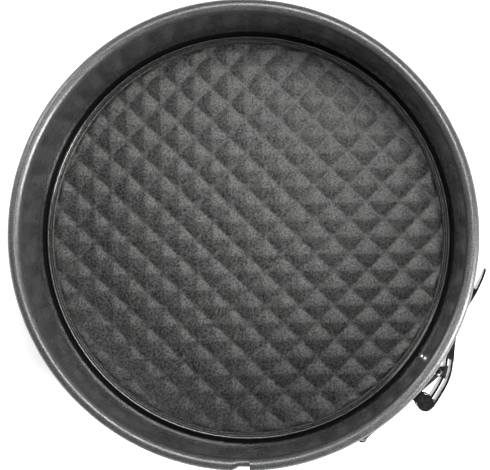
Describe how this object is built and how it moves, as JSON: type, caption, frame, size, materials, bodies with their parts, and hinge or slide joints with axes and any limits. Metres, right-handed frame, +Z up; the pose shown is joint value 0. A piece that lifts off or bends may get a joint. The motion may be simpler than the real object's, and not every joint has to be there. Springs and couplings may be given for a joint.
{
  "type": "springform pan",
  "caption": "Round springform pan: side band with rolled rim and over-centre clasp, round a loose base with a raised-diamond panel.",
  "frame": {"origin": "on the pan's axis at the face it stands on, the underside of the base", "axes": "+Z up out of the pan's mouth; +X towards the side that the lever's finger tip is on; the clasp's pivots are at about -43 degrees, between +X and -Y"},
  "size_m": [0.2486, 0.2417, 0.07],
  "materials": {
    "coated_band": "dark grey non-stick coating, semi-gloss",
    "coated_base": "dark grey non-stick coating with a fine metallic sparkle, satin",
    "clasp_steel": "plated steel, satin",
    "dark_pin": "black oxide, satin",
    "wire_steel": "bright drawn wire"
  },
  "bodies": {
    "pan": {"base": "coated_base", "band_right": "coated_band", "pivot_bracket": "clasp_steel", "pivot_pin": "dark_pin", "pivot_rivets": "clasp_steel", "pivot_washers": "dark_pin"},
    "left_band": {"band_left": "coated_band", "hook_bracket": "clasp_steel", "hook_rivets": "clasp_steel"},
    "lever": {"lever": "clasp_steel", "pivot_bush": "dark_pin"},
    "link": {"wire_link": "wire_steel"}
  },
  "joints": [
    {"name": "band_flex", "type": "hinge", "parent": "pan", "child": "left_band", "pos_m": [-0.07608, 0.09396, 0.035], "axis": [0, 0, -1], "range_deg": [0, 4.29]},
    {"name": "lever_swing", "type": "hinge", "parent": "pan", "child": "lever", "pos_m": [0.0948, -0.0877, 0.04], "axis": [0, 0, -1], "range_deg": [0, 140]},
    {"name": "link_turn", "type": "hinge", "parent": "lever", "child": "link", "pos_m": [0.1027, -0.0713, 0.04], "axis": [0, 0, 1], "range_deg": [0, 110.77]}
  ],
  "couplings": [
    {"joint": "band_flex", "follows": "lever_swing", "ratio": 0.030678},
    {"joint": "link_turn", "follows": "lever_swing", "ratio": 0.7912}
  ]
}
